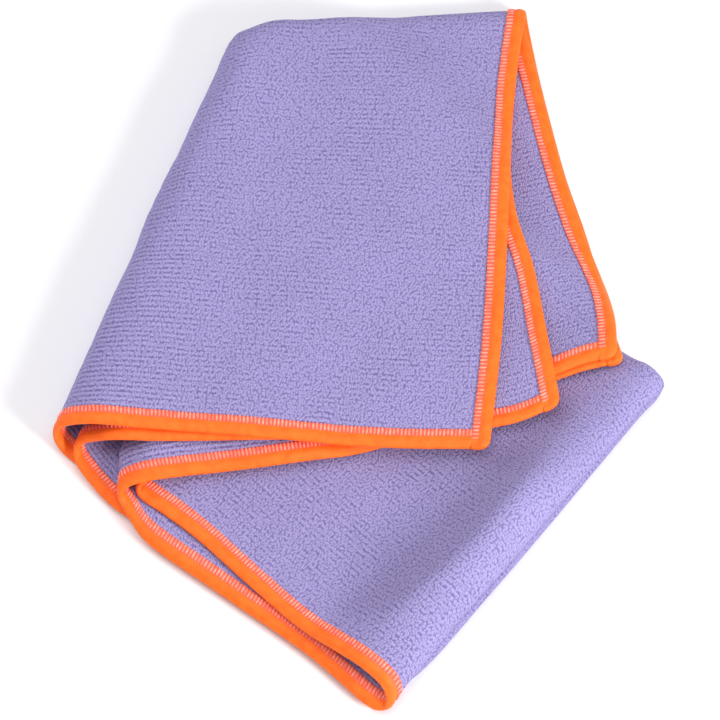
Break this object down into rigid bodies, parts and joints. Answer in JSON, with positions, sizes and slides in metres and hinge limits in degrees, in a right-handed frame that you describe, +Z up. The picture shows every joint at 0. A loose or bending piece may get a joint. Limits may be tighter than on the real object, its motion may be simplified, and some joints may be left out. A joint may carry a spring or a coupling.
{
  "type": "quick dry towel",
  "caption": "Thin terry microfibre travel towel with bound and stitched edges, folded in quarters and folded over once more.",
  "frame": {"origin": "middle of the footprint, on the surface that the towel lies on", "axes": "+Z up through the stack of layers; +Y towards the lengthwise crease of the upper strip; +X towards the four bound corners"},
  "size_m": [0.272, 0.348, 0.0276],
  "materials": {
    "terry_microfibre": "lavender looped microfibre pile, matt with a soft sheen",
    "binding_tape": "bright orange woven binding tape, smooth, with a slight sheen",
    "stitching_thread": "coral polyester sewing thread"
  },
  "bodies": {
    "root": {"terry_cloth": "terry_microfibre", "long_edge_ab_tape": "binding_tape", "long_edge_cd_tape": "binding_tape", "short_edge_ad_tape": "binding_tape", "short_edge_bc_tape": "binding_tape", "long_edge_ab_face_stitches": "stitching_thread", "long_edge_ab_back_stitches": "stitching_thread", "long_edge_cd_face_stitches": "stitching_thread", "long_edge_cd_back_stitches": "stitching_thread", "short_edge_ad_face_stitches": "stitching_thread", "short_edge_ad_back_stitches": "stitching_thread", "short_edge_bc_face_stitches": "stitching_thread", "short_edge_bc_back_stitches": "stitching_thread"}
  },
  "joints": []
}
